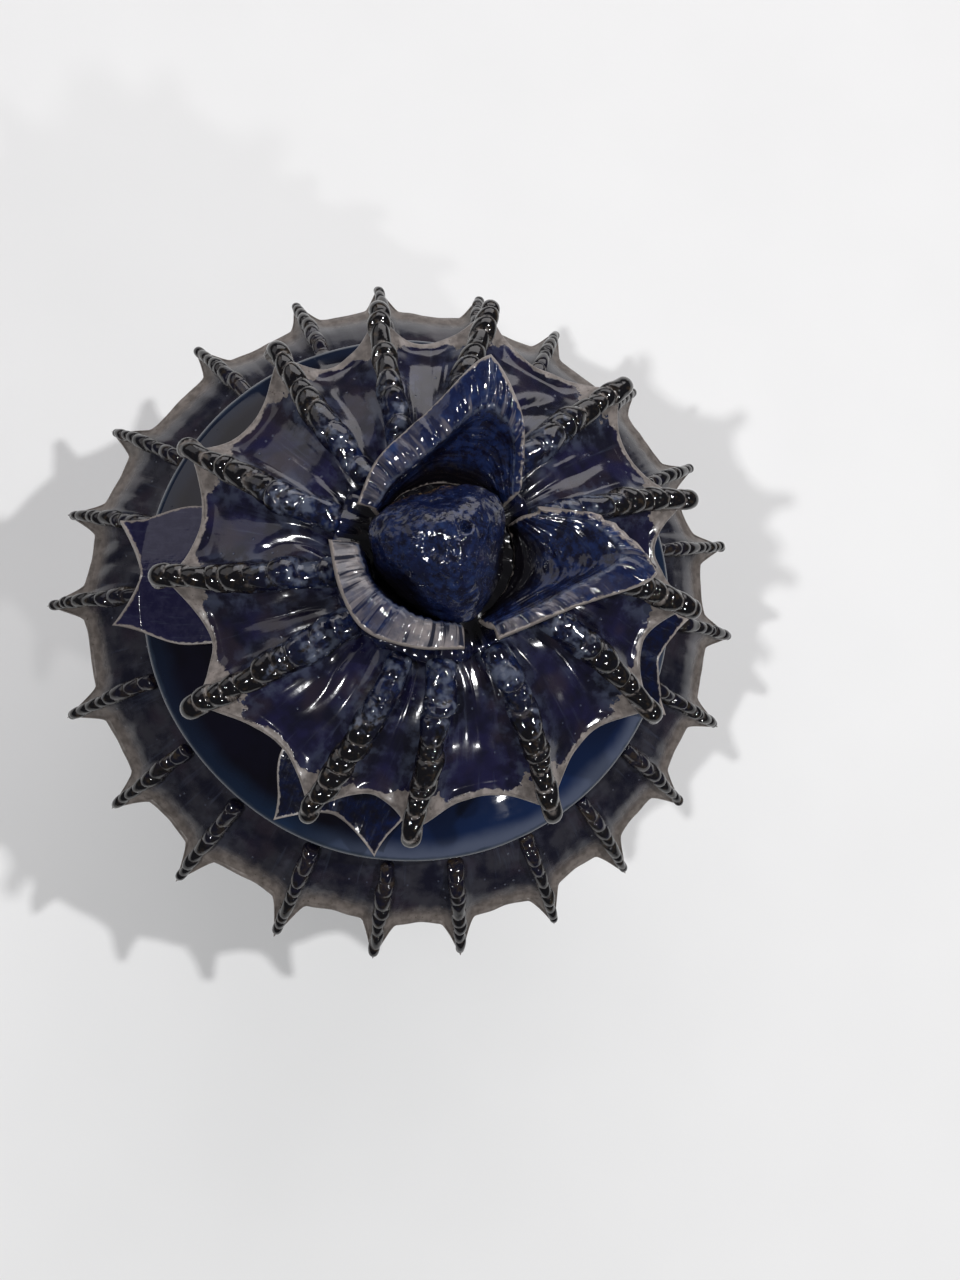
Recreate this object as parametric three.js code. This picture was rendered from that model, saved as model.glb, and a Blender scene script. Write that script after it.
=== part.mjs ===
// Lidded ceramic jar with a spiked shoulder frill and a flower-shaped knob.
// Millimetres, +Z up. The origin is the centre of the foot, on the surface the jar stands on.
import * as THREE from 'three';

// ---- driving dimensions ----

const FOOT_R = 44;
const FOOT_RING_WIDTH = 7;
const FOOT_RECESS = 3;
const BELLY_R = 78;
const BELLY_Z = 60;
const NECK_R = 67;
const RIM_Z = 117.7;
const MOUTH_R = 58.5;
const JAR_WALL = 5;
const JAR_SIDES = 36;
const KNOB_SIDES = 20;

const GAP = 0.3;
const FRILL_THICK = 3;

// A frill's spikes are listed as [degrees about +Z, radius of the tip], as they were pinched out.
const SHOULDER = {
  rootR: NECK_R + GAP,
  rootZ: 113,
  tipZ: 91,
  webShare: 0.72,
  bend: 1.5,
  crest: 0,
  swirlDeg: 0,
  stepsPerSpike: 6,
  spikes: [
    [13, 100], [28, 99.5], [45, 99], [62, 98.5], [77, 99], [95, 98], [110, 96.5], [129, 97],
    [149, 97], [165, 97.5], [180.5, 99], [199, 97.5], [215.5, 97.5], [231, 98], [249, 97.5],
    [265.5, 98], [280, 98.5], [296.5, 99.5], [311, 99], [326, 99], [341, 99], [357, 99],
  ],
};

const CROWN = {
  rootR: 14,
  rootZ: 168,
  tipZ: 164,
  webShare: 0.79,
  bend: 2.2,
  crest: 3.5,
  swirlDeg: 8,
  stepsPerSpike: 6,
  spikes: [
    [16, 67.5], [44.5, 67.5], [78, 67.5], [102.5, 65], [127, 64.5], [156, 64.5], [184.5, 64.5],
    [212, 66.5], [244, 66.5], [265.5, 65.5], [296, 66.5], [327, 65], [352, 65.5],
  ],
};

const SHOULDER_ROPE = { radius: 2.1, from: 0.22, to: 0.98, over: 0.7 };
const CROWN_ROPE = { radius: 2.5, from: 0.22, to: 1, over: 0.7 };

const LID_R = 72;
const LID_EDGE_Z = 118;
const LID_EDGE_THICK = 4.5;
const LID_RISE = 17;
const LID_PAD_R = 17;
const LID_WALL = 5;
const FLANGE_R = 57;
const FLANGE_WALL = 4;
const FLANGE_DEPTH = 9;

// rest is the clearance above the lid at the root; lift is how much more the points stand up.
const LEAF = { rootR: 21, rootHalf: 9, widen: 9, notch: 7, thick: 2.4, lift: 2.5, rest: 1.6 };
const LEAVES = [
  { deg: 81, tipR: 64 },
  { deg: 178.5, tipR: 78 },
  { deg: 252, tipR: 68.7 },
  { deg: 346.5, tipR: 74 },
];

const STEM_WAIST_R = 9.5;
const STEM_TOP_R = 19;
const SPIGOT_R = CROWN.rootR - GAP;
const CUP_R = 24;
const CUP_HEIGHT = 4.5;

const BUD_R = 14.8;
const BUD_HEIGHT = 20;

// Each petal is lofted through four curves, from where it stands on the cup up to its rim.
// A curve's points are [degrees about +Z, radius, height above the cup].
const PETAL_THICK = 2.2;
const PETALS = {
  petal_back: [
    [[148, 17.2, 1], [122, 17.4, 1], [90, 17.6, 1], [62, 17.8, 1], [38, 18.5, 1]],
    [[150, 18, 3], [124, 19.5, 4], [92, 24, 5], [64, 25, 5], [38, 20.5, 3]],
    [[150, 19, 5], [126, 20, 9], [98, 23, 13], [76, 33, 14.5], [60, 31.5, 12], [38, 21.5, 4.5]],
    [[153, 22, 5.5], [128, 25, 9.5], [103, 29, 12.5], [79, 42.5, 17], [64, 37, 15], [39, 23.5, 5]],
  ],
  petal_right: [
    [[26, 18.5, 1], [6, 18, 1], [345, 17.6, 1], [322, 17.8, 1], [302, 18.2, 1]],
    [[26, 21, 3.5], [8, 26, 4.5], [348, 28, 5], [325, 22, 4.5], [302, 20, 3]],
    [[24, 24, 6], [11, 35, 10.5], [357, 41, 12.5], [336, 28, 9], [304, 21.5, 5]],
    [[26, 24.5, 7], [12, 36.5, 11], [353, 47.5, 13.5], [335, 32, 10], [302, 24, 5.5]],
  ],
  petal_front: [
    [[180, 17.4, 1], [205, 17.3, 1], [228, 17.3, 1], [255, 17.3, 1], [283, 17.5, 1]],
    [[180, 19, 4], [205, 18.5, 6], [228, 18.5, 7], [255, 18, 6], [283, 18, 4]],
    [[179, 20.5, 9], [205, 20, 12], [226, 19.5, 13.5], [254, 18.5, 12], [284, 19, 8]],
    [[178, 26, 9.5], [205, 26, 13], [228, 27, 14], [254, 24.5, 12.5], [282, 23.5, 8.5]],
  ],
};

// ---- helpers ----

const rad = THREE.MathUtils.degToRad;

function glaze(color, roughness) {
  return new THREE.MeshStandardMaterial({ color, roughness, metalness: 0 });
}

function node(name, geometry, material) {
  const mesh = new THREE.Mesh(geometry, material);
  mesh.name = name;
  return mesh;
}

// A solid of revolution about +Z from [radius, height] pairs.
function turned(profile, sides) {
  const points = profile.map(([r, z]) => new THREE.Vector2(r, z));
  const geometry = new THREE.LatheGeometry(points, sides);
  return geometry.rotateX(Math.PI / 2);
}

// Replaces every vertex by place(x, y, z).
function reshaped(geometry, place) {
  const position = geometry.getAttribute('position');
  const p = new THREE.Vector3();
  for (let i = 0; i < position.count; i += 1) {
    p.fromBufferAttribute(position, i);
    const moved = place(p.x, p.y, p.z);
    position.setXYZ(i, moved.x, moved.y, moved.z);
  }
  return geometry;
}

function polar(r, angle, z) {
  return new THREE.Vector3(r * Math.cos(angle), r * Math.sin(angle), z);
}

// A sheet of even thickness: surface(u, v) is its middle, u in -1..1 and v in 0..1.
function sheet(surface, across, along, thick) {
  const box = new THREE.BoxGeometry(2, 1, 1, across, along, 1);
  const small = 1e-3;
  return reshaped(box, (x, y, z) => {
    const u = x;
    const v = y + 0.5;
    const here = surface(u, v);
    const du = surface(Math.min(1, u + small), v).sub(surface(Math.max(-1, u - small), v));
    const dv = surface(u, Math.min(1, v + small)).sub(surface(u, Math.max(0, v - small)));
    const normal = du.cross(dv).normalize();
    return here.addScaledVector(normal, z * thick);
  });
}

// ---- spiked frills ----

// Height of the frill's top face at share t of the way from root to tip.
function frillZ(frill, t) {
  const dome = frill.crest * Math.sin(Math.PI * Math.min(1, t * 1.25));
  return frill.rootZ + dome - (frill.rootZ - frill.tipZ) * t ** frill.bend;
}

// A point on the frill's top face along a spike.
function ribPoint(frill, [deg, tipR], t) {
  const angle = rad(deg + frill.swirlDeg * (1 - t));
  const r = THREE.MathUtils.lerp(frill.rootR, tipR, t);
  return polar(r, angle, frillZ(frill, t));
}

// The frill is a ring whose outer edge runs in and out in concave scallops between spikes.
function frillSolid(frill) {
  const spikes = frill.spikes;
  const count = spikes.length;
  const rings = 3;
  const profile = [];
  for (let i = 0; i <= rings; i += 1) profile.push([1 + i / rings, 0]);
  for (let i = rings; i >= 0; i -= 1) profile.push([1 + i / rings, 1]);
  profile.push(profile[0]);
  const ring = turned(profile, count * frill.stepsPerSpike);
  return reshaped(ring, (x, y, z) => {
    const t = Math.max(0, Math.hypot(x, y) - 1);
    const turn = (Math.atan2(y, x) / (2 * Math.PI) + 2) % 1;
    const index = Math.round(turn * count * frill.stepsPerSpike) / frill.stepsPerSpike;
    const before = Math.floor(index) % count;
    const share = index - Math.floor(index);
    const side = share < 0.5 ? share : 1 - share;
    const eased = 0.5 * (2 * side) ** 1.25;
    const blend = share < 0.5 ? eased : 1 - eased;
    const [start, startR] = spikes[before];
    const [next, stopR] = spikes[(before + 1) % count];
    const stop = next + (before + 1 === count ? 360 : 0);
    const reach = frill.webShare + (1 - frill.webShare) * Math.max(0, 1 - 2 * eased) ** 2.4;
    const along = t * reach;
    const angle = rad(THREE.MathUtils.lerp(start, stop, blend) + frill.swirlDeg * (1 - along));
    const r = THREE.MathUtils.lerp(frill.rootR, THREE.MathUtils.lerp(startR, stopR, blend), along);
    return polar(r, angle, frillZ(frill, along) - (z > 0.5 ? 0 : FRILL_THICK));
  });
}

// A rope of clay laid along a spike, from part way down the frill to its tip.
function ropeSolid(frill, rope, spike) {
  const points = [];
  const steps = 5;
  for (let i = 0; i <= steps; i += 1) {
    const t = THREE.MathUtils.lerp(rope.from, rope.to, i / steps);
    const here = ribPoint(frill, spike, t);
    const ahead = ribPoint(frill, spike, t + 0.01).sub(ribPoint(frill, spike, t - 0.01)).normalize();
    const sideways = new THREE.Vector3(-here.y, here.x, 0).normalize();
    const up = ahead.cross(sideways).normalize();
    points.push(here.addScaledVector(up, rope.radius + rope.over));
  }
  const section = new THREE.Shape().absarc(0, 0, rope.radius, 0, 2 * Math.PI);
  return new THREE.ExtrudeGeometry(section, {
    steps,
    curveSegments: 3,
    bevelEnabled: false,
    extrudePath: new THREE.CatmullRomCurve3(points),
  });
}

// ---- jar ----

function jarProfile() {
  const outside = new THREE.SplineCurve([
    new THREE.Vector2(FOOT_R + 1, 4),
    new THREE.Vector2(FOOT_R + 8, 12),
    new THREE.Vector2(BELLY_R - 7, 34),
    new THREE.Vector2(BELLY_R, BELLY_Z),
    new THREE.Vector2(BELLY_R - 4, 84),
    new THREE.Vector2(NECK_R, 104),
  ]).getPoints(8);
  const inside = outside.slice(1).reverse();
  return [
    [0, FOOT_RECESS],
    [FOOT_R - FOOT_RING_WIDTH - 1, FOOT_RECESS],
    [FOOT_R - FOOT_RING_WIDTH, 0],
    [FOOT_R, 0],
    ...outside.map((p) => [p.x, p.y]),
    [NECK_R, RIM_Z - 1.5],
    [NECK_R - 1.5, RIM_Z],
    [MOUTH_R + 1, RIM_Z],
    [MOUTH_R, RIM_Z - 1],
    [MOUTH_R, 108],
    ...inside.map((p) => [p.x - JAR_WALL, Math.max(p.y, FOOT_RECESS + JAR_WALL + 1)]),
    [FOOT_R - 6, FOOT_RECESS + JAR_WALL],
    [0, FOOT_RECESS + JAR_WALL],
  ];
}

// ---- lid ----

function lidTopZ(r) {
  const share = Math.min(1, r / LID_R);
  return LID_EDGE_Z + LID_EDGE_THICK + LID_RISE * (1 - share ** 1.8);
}

function lidProfile() {
  const underside = [0, LID_PAD_R, 30, 42].map((r) => [r, lidTopZ(Math.max(r, LID_PAD_R)) - LID_WALL]);
  const top = [62, 50, 38, 27, LID_PAD_R].map((r) => [r, lidTopZ(r)]);
  return [
    ...underside,
    [FLANGE_R - FLANGE_WALL - 1, LID_EDGE_Z],
    [LID_R - 1.5, LID_EDGE_Z],
    [LID_R, LID_EDGE_Z + 1.5],
    [LID_R, LID_EDGE_Z + LID_EDGE_THICK - 1.5],
    [LID_R - 1.5, lidTopZ(LID_R - 1.5)],
    ...top,
    [0, lidTopZ(LID_PAD_R)],
  ];
}

// The ring below the lid that drops into the jar's mouth.
function flangeProfile() {
  const top = LID_EDGE_Z - GAP;
  const bottom = LID_EDGE_Z - FLANGE_DEPTH;
  return [
    [FLANGE_R - FLANGE_WALL, bottom],
    [FLANGE_R - 1, bottom],
    [FLANGE_R, bottom + 2],
    [FLANGE_R, top],
    [FLANGE_R - FLANGE_WALL, top],
    [FLANGE_R - FLANGE_WALL, bottom],
  ];
}

// A broad leaf that widens outwards, then narrows to two points with a notch between them.
function leafSolid({ deg, tipR }) {
  const surface = (u, v) => {
    const halfWidth = LEAF.rootHalf + LEAF.widen * Math.sin(Math.PI * Math.min(v * 0.72, 0.62));
    const notch = LEAF.notch * v ** 6 * (1 - Math.abs(u)) ** 1.3;
    const taper = 1 - 0.22 * THREE.MathUtils.smoothstep(v, 0.65, 1);
    const x = LEAF.rootR + (tipR - LEAF.rootR) * v - notch;
    const y = u * halfWidth * taper;
    const reach = Math.min(Math.hypot(x, y), LID_R);
    const lift = LEAF.rest + LEAF.lift * v ** 2 + 1.5 * (1 - Math.abs(u)) * v;
    return new THREE.Vector3(x, y, lidTopZ(reach) + lift).applyAxisAngle(new THREE.Vector3(0, 0, 1), rad(deg));
  };
  return sheet(surface, 6, 6, LEAF.thick);
}

// ---- knob ----

function stemProfile() {
  const bottom = lidTopZ(LID_PAD_R) + GAP;
  const top = CROWN.rootZ - FRILL_THICK - GAP;
  const flare = new THREE.SplineCurve([
    new THREE.Vector2(LID_PAD_R - 2, bottom + 2),
    new THREE.Vector2(STEM_WAIST_R, bottom + 0.5 * (top - bottom)),
    new THREE.Vector2(STEM_TOP_R, top - 1.5),
  ]).getPoints(6);
  return [
    [0, bottom],
    [LID_PAD_R - 2, bottom],
    ...flare.map((p) => [p.x, p.y]),
    [STEM_TOP_R, top],
    [SPIGOT_R, top],
    [SPIGOT_R, CROWN.rootZ],
    [0, CROWN.rootZ],
  ];
}

const CUP_Z = CROWN.rootZ + 1.6;
const CUP_TOP_Z = CUP_Z + CUP_HEIGHT;

function cupProfile() {
  return [
    [0, CROWN.rootZ + GAP],
    [SPIGOT_R - 2, CROWN.rootZ + GAP],
    [SPIGOT_R - 1, CUP_Z + 1],
    [CUP_R - 2, CUP_Z + 1.6],
    [CUP_R, CUP_TOP_Z - 1],
    [CUP_R - 1, CUP_TOP_Z],
    [0, CUP_TOP_Z],
  ];
}

const BUD_Z = CUP_TOP_Z + GAP;

function budProfile() {
  const outline = new THREE.SplineCurve([
    new THREE.Vector2(BUD_R - 5, BUD_Z),
    new THREE.Vector2(BUD_R, BUD_Z + 0.35 * BUD_HEIGHT),
    new THREE.Vector2(BUD_R - 5, BUD_Z + 0.75 * BUD_HEIGHT),
    new THREE.Vector2(2.5, BUD_Z + BUD_HEIGHT),
  ]).getPoints(7);
  return [[0, BUD_Z], ...outline.map((p) => [p.x, p.y]), [0, BUD_Z + BUD_HEIGHT]];
}

// A petal is a sheet lofted through its curves, smooth both along and across.
function petalSolid(curves) {
  const lines = curves.map((points) => {
    const places = points.map(([deg, r, height]) => polar(r, rad(deg), CUP_TOP_Z + height));
    return new THREE.CatmullRomCurve3(places);
  });
  const surface = (u, v) => {
    const across = lines.map((line) => line.getPoint((u + 1) / 2));
    return new THREE.CatmullRomCurve3(across).getPoint(v);
  };
  return sheet(surface, 9, 7, PETAL_THICK);
}

// ---- the object ----

const cobalt = glaze(0x1a2350, 0.18);
const violet = glaze(0x1c1a38, 0.15);
const rope = glaze(0x14130f, 0.15);
const petalBlue = glaze(0x1c2c66, 0.25);

const group = new THREE.Group();
const jar = new THREE.Group();
const lid = new THREE.Group();
group.add(jar, lid);

const label = (number) => String(number).padStart(2, '0');

jar.add(node('jar_body', turned(jarProfile(), JAR_SIDES), cobalt.clone()));
jar.add(node('shoulder_frill', frillSolid(SHOULDER), cobalt.clone()));
SHOULDER.spikes.forEach((spike, i) => {
  jar.add(node(`shoulder_rope_${label(i + 1)}`, ropeSolid(SHOULDER, SHOULDER_ROPE, spike), rope.clone()));
});

lid.add(node('lid_dome', turned(lidProfile(), JAR_SIDES), violet.clone()));
lid.add(node('lid_ring', turned(flangeProfile(), JAR_SIDES), violet.clone()));
LEAVES.forEach((leaf, i) => {
  lid.add(node(`lid_leaf_${label(i + 1)}`, leafSolid(leaf), petalBlue.clone()));
});
lid.add(node('knob_stem', turned(stemProfile(), KNOB_SIDES), cobalt.clone()));
lid.add(node('crown_frill', frillSolid(CROWN), violet.clone()));
CROWN.spikes.forEach((spike, i) => {
  lid.add(node(`crown_rope_${label(i + 1)}`, ropeSolid(CROWN, CROWN_ROPE, spike), rope.clone()));
});
lid.add(node('flower_cup', turned(cupProfile(), KNOB_SIDES), cobalt.clone()));
Object.entries(PETALS).forEach(([name, curves]) => {
  lid.add(node(name, petalSolid(curves), petalBlue.clone()));
});
lid.add(node('bud', turned(budProfile(), KNOB_SIDES), petalBlue.clone()));

export default group;
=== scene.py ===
"""A hand-built lidded jar in cobalt glaze: spiked shoulder frill, smooth lid, ruffed flower knob.

Lengths below are in millimetres and angles in degrees about +Z; meshes are written in metres.
"""
import math

import bmesh
import bpy
import numpy as np
from mathutils import Matrix, Vector


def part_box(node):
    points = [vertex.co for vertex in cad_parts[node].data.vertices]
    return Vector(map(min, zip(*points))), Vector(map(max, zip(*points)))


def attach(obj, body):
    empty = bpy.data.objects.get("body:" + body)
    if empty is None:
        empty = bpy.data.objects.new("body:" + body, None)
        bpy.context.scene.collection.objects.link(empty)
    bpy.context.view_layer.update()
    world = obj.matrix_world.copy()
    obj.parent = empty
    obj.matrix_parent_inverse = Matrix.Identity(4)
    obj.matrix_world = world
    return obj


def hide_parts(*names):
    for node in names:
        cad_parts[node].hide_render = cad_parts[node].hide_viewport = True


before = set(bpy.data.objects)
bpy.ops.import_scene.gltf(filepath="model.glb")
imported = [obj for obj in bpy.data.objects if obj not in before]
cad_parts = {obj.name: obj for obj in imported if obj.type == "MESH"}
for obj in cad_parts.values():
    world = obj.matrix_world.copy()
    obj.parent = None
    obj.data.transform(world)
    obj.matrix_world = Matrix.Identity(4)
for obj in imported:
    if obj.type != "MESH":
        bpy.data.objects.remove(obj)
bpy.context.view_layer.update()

MM = 0.001

# ---------------------------------------------------------------- small mathematics


def corners(node):
    """Lowest and highest corner of a frame node, in millimetres."""
    low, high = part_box(node)
    return np.array(low) / MM, np.array(high) / MM


def vertices(node):
    """All vertices of a frame node, in millimetres."""
    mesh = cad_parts[node].data
    co = np.empty(len(mesh.vertices) * 3)
    mesh.vertices.foreach_get("co", co)
    return co.reshape(-1, 3) / MM


def smooth(value, low, high):
    """0 below low, 1 above high, and 3t² - 2t³ between."""
    t = np.clip((value - low) / (high - low), 0, 1)
    return t * t * (3 - 2 * t)


def bell(value, width):
    """1 where value is 0, falling off on both sides by exp(-(value / width)²)."""
    return np.exp(-((value / width) ** 2))


def round_end(share):
    """Height of a quarter circle: 0 at share 0, rising to 1 at share 1 and staying there."""
    return np.sqrt(np.clip(1 - (1 - np.minimum(share, 1)) ** 2, 0, 1))


def wrapped(angle):
    """The same angle brought between -pi and pi."""
    return np.angle(np.exp(1j * angle))


def polar(radius, angle, height):
    """Points from radius, angle in radians and height."""
    radius, angle, height = np.broadcast_arrays(radius, angle, height)
    return np.stack([radius * np.cos(angle), radius * np.sin(angle), height], -1).astype(float)


def noise(points, size, seed):
    """Lattice noise in -1..1: seeded values at the corners of cells, blended by 3t² - 2t³ inside."""
    table = np.random.default_rng(seed).uniform(-1, 1, (32, 32, 32))
    q = np.asarray(points, float) / size + 100
    cell = np.floor(q).astype(int)
    f = q - cell
    w = f * f * (3 - 2 * f)
    total = np.zeros(q.shape[:-1])
    for corner in np.ndindex(2, 2, 2):
        weight = np.prod(np.where(corner, w, 1 - w), axis=-1)
        i = (cell + corner) % 32
        total += weight * table[i[..., 0], i[..., 1], i[..., 2]]
    return total


def through(points, count):
    """count points on the Catmull-Rom curve through the given ones, along the first axis."""
    p = np.asarray(points, float)
    p = np.concatenate([[2 * p[0] - p[1]], p, [2 * p[-1] - p[-2]]])
    s = np.linspace(0, len(p) - 3, count)
    k = np.minimum(s.astype(int), len(p) - 4)
    t = (s - k).reshape((-1,) + (1,) * (p.ndim - 1))
    a, b, c, d = p[k], p[k + 1], p[k + 2], p[k + 3]
    return b + 0.5 * t * (c - a + t * (2 * a - 5 * b + 4 * c - d + t * (3 * (b - c) + d - a)))


def normals_of(grid):
    """Unit normals of a rows x columns grid, from its two difference directions."""
    n = np.cross(np.gradient(grid, axis=1), np.gradient(grid, axis=0))
    return n / np.maximum(np.linalg.norm(n, axis=-1, keepdims=True), 1e-9)


# ---------------------------------------------------------------- meshes from grids


def finish_piece(name, points, faces, flat, marks, material, body, slot, nodes):
    """Makes the object from points in millimetres, with its flat map and its marked values."""
    mesh = bpy.data.meshes.new(name)
    mesh.from_pydata((points * MM).tolist(), [], faces.tolist())
    for key, values in marks.items():
        layer = mesh.attributes.new(key, "FLOAT", "POINT")
        layer.data.foreach_set("value", np.ascontiguousarray(values, np.float32))
    corner = np.empty(len(mesh.loops), np.int32)
    mesh.loops.foreach_get("vertex_index", corner)
    layer = mesh.uv_layers.new(name="flat")
    layer.uv.foreach_set("vector", np.ascontiguousarray(flat[corner] * MM, np.float32).ravel())
    shell = bmesh.new()
    shell.from_mesh(mesh)
    bmesh.ops.remove_doubles(shell, verts=shell.verts, dist=1e-7)
    bmesh.ops.recalc_face_normals(shell, faces=shell.faces)
    shell.to_mesh(mesh)
    shell.free()
    mesh.polygons.foreach_set("use_smooth", np.ones(len(mesh.polygons), bool))
    mesh.materials.append(material)
    piece = bpy.data.objects.new(name, mesh)
    bpy.context.scene.collection.objects.link(piece)
    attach(piece, body)
    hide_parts(*nodes)
    return piece


def quads(rows):
    """Faces between neighbouring rows of vertex numbers; repeat a row or column to close the grid."""
    return np.stack([rows[:-1, :-1], rows[:-1, 1:], rows[1:, 1:], rows[1:, :-1]], -1).reshape(-1, 4)


def shell_piece(name, grid, closed_rows, flat, marks, **where):
    """A closed skin: columns always join round, rows join round too or end in a pole at both ends."""
    rows, columns = grid.shape[:2]
    number = np.arange(rows * columns).reshape(rows, columns)
    number = np.concatenate([number, number[:, :1]], 1)
    if closed_rows:
        number = np.concatenate([number, number[:1]], 0)
    else:
        grid[0] = grid[0].mean(0)
        grid[-1] = grid[-1].mean(0)
    marks = {key: value.ravel() for key, value in marks.items()}
    return finish_piece(name, grid.reshape(-1, 3), quads(number), flat.reshape(-1, 2), marks, **where)


ROUND_SHARE = 0.07  # share of a sheet's half width that its round edge takes up


def sheet_piece(name, middle, thick, front, back, flat, marks, **where):
    """A sheet: two skins stand half the thickness off the middle and meet in a round edge.

    The half thickness falls off like a circle's arc over the outermost stretch of the grid.
    front and back are what relief adds to each skin.
    """
    rows, columns = middle.shape[:2]
    v = np.abs(np.linspace(-1, 1, rows))[:, None]
    u = np.abs(np.linspace(-1, 1, columns))[None, :]
    round_edge = round_end((1 - u) / ROUND_SHARE) * round_end((1 - v) / ROUND_SHARE)
    half = (0.5 * thick * round_edge)[..., None]
    normal = normals_of(middle)
    upper = middle + normal * (half + (front * round_edge)[..., None])
    lower = middle - normal * (half + (back * round_edge)[..., None])
    top = np.arange(rows * columns).reshape(rows, columns)
    under = top + rows * columns
    under[[0, -1]] = top[[0, -1]]
    under[:, [0, -1]] = top[:, [0, -1]]
    faces = np.concatenate([quads(top), quads(under)[:, ::-1]])
    points = np.concatenate([upper.reshape(-1, 3), lower.reshape(-1, 3)])
    used = np.unique(faces)
    renumber = np.zeros(len(points), int)
    renumber[used] = np.arange(len(used))
    flat = np.concatenate([flat.reshape(-1, 2)] * 2)[used]
    marks = {key: np.concatenate([value.ravel()] * 2)[used] for key, value in marks.items()}
    return finish_piece(name, points[used], renumber[faces], flat, marks, **where)


def edge_distance(grid):
    """Distance from every point of a grid to the nearest point of its outline."""
    outline = np.concatenate([grid[0], grid[-1], grid[:, 0], grid[:, -1]])
    return np.sqrt(((grid[:, :, None] - outline) ** 2).sum(-1)).min(-1)


# ---------------------------------------------------------------- glazes


GLAZE_IOR = 1.52
COAT_ROUGHNESS = 0.04


class Glaze:
    """One ceramic finish, built up node by node; coat is how much clear glass lies on top."""

    def __init__(self, name, coat=0.0):
        self.material = bpy.data.materials.new(name)
        self.material.use_nodes = True
        self.nodes = self.material.node_tree.nodes
        self.links = self.material.node_tree.links
        self.shader = self.nodes["Principled BSDF"]
        self.shader.inputs["IOR"].default_value = GLAZE_IOR
        self.shader.inputs["Coat Weight"].default_value = coat
        self.shader.inputs["Coat Roughness"].default_value = COAT_ROUGHNESS
        self.place = self.node("ShaderNodeTexCoord").outputs["Object"]

    def node(self, kind, **settings):
        made = self.nodes.new(kind)
        for key, value in settings.items():
            setattr(made, key, value)
        return made

    def put(self, socket, value):
        """Links a socket, or sets its plain value."""
        if isinstance(value, bpy.types.NodeSocket):
            self.links.new(value, socket)
        else:
            socket.default_value = value

    def stretched(self, source, scale):
        """Coordinates multiplied by scale along each axis."""
        made = self.node("ShaderNodeMapping")
        self.put(made.inputs["Vector"], source)
        made.inputs["Scale"].default_value = scale
        return made.outputs["Vector"]

    def speckle(self, size, detail=3.0, source=None, roughness=0.55):
        """Noise 0..1 whose blotches are about size millimetres across."""
        made = self.node("ShaderNodeTexNoise")
        self.put(made.inputs["Vector"], self.place if source is None else source)
        made.inputs["Scale"].default_value = 1 / (size * MM)
        made.inputs["Detail"].default_value = detail
        made.inputs["Roughness"].default_value = roughness
        return made.outputs["Fac"]

    def cells(self, size):
        """Distance to the nearest of scattered points about size millimetres apart."""
        made = self.node("ShaderNodeTexVoronoi")
        self.put(made.inputs["Vector"], self.place)
        made.inputs["Scale"].default_value = 1 / (size * MM)
        return made.outputs["Distance"]

    def marked(self, name):
        return self.node("ShaderNodeAttribute", attribute_name=name).outputs["Fac"]

    def sum(self, first, second, how="ADD"):
        made = self.node("ShaderNodeMath", operation=how)
        self.put(made.inputs[0], first)
        self.put(made.inputs[1], second)
        return made.outputs[0]

    def times(self, first, second):
        return self.sum(first, second, "MULTIPLY")

    def flat_map(self):
        """The piece's own flat coordinates, in metres."""
        return self.node("ShaderNodeUVMap", uv_map="flat").outputs["UV"]

    def step(self, value, low, high, start=0.0, stop=1.0):
        """A smooth step from start to stop as value goes from low to high."""
        made = self.node("ShaderNodeMapRange", interpolation_type="SMOOTHSTEP")
        self.put(made.inputs["Value"], value)
        made.inputs["From Min"].default_value = low
        made.inputs["From Max"].default_value = high
        made.inputs["To Min"].default_value = start
        made.inputs["To Max"].default_value = stop
        return made.outputs["Result"]

    def blend(self, share, first, second):
        """Colour first where share is 0, second where it is 1."""
        made = self.node("ShaderNodeMix", data_type="RGBA")
        self.put(made.inputs["Factor"], share)
        self.put(made.inputs["A"], first if isinstance(first, bpy.types.NodeSocket) else (*first, 1))
        self.put(made.inputs["B"], second if isinstance(second, bpy.types.NodeSocket) else (*second, 1))
        return made.outputs["Result"]

    def relief(self, height, depth, below=None):
        """Bump of depth millimetres, on top of an earlier bump."""
        made = self.node("ShaderNodeBump")
        made.inputs["Strength"].default_value = 1.0
        made.inputs["Distance"].default_value = depth * MM
        self.put(made.inputs["Height"], height)
        if below is not None:
            self.put(made.inputs["Normal"], below)
        return made.outputs["Normal"]

    def surface(self, colour, roughness, normal):
        self.put(self.shader.inputs["Base Color"], colour)
        self.put(self.shader.inputs["Roughness"], roughness)
        self.put(self.shader.inputs["Normal"], normal)
        return self.material


# Black glaze of the rope tips; the same black is also the painted shade in the flower's throat and at the
# bud's root.
BLACK_GLAZE_AND_SHADE = (0.0030, 0.0026, 0.0040)
INK_GLAZE = (0.0040, 0.0038, 0.0120)
PLUM_GLAZE = (0.0085, 0.0075, 0.0340)
NAVY_GLAZE = (0.0050, 0.0080, 0.0340)
COBALT_GLAZE = (0.0090, 0.0170, 0.0620)
BRIGHT_COBALT = (0.0200, 0.0400, 0.1200)
GREY_BLUE = (0.060, 0.072, 0.110)
UMBER_GLAZE = (0.0200, 0.0140, 0.0230)
PALE_BLUE = (0.090, 0.105, 0.150)
SLATE_GLAZE = (0.0260, 0.0250, 0.0330)
BARE_SLIP = (0.215, 0.186, 0.172)
SHADED_SLIP = (0.115, 0.098, 0.090)
DULL_MILK = (0.12, 0.115, 0.125)
WARM_MILK = (0.23, 0.205, 0.20)
PALE_RIB = (0.20, 0.185, 0.20)
RIB_SHADOW = (0.010, 0.011, 0.018)
DUSKY_LEAF = (0.018, 0.017, 0.048)
BLUE_LEAF = (0.003, 0.007, 0.036)
VIOLET_BLACK = (0.0015, 0.0009, 0.0045)
VIOLET_SHEEN = (0.0024, 0.0018, 0.0085)
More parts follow.
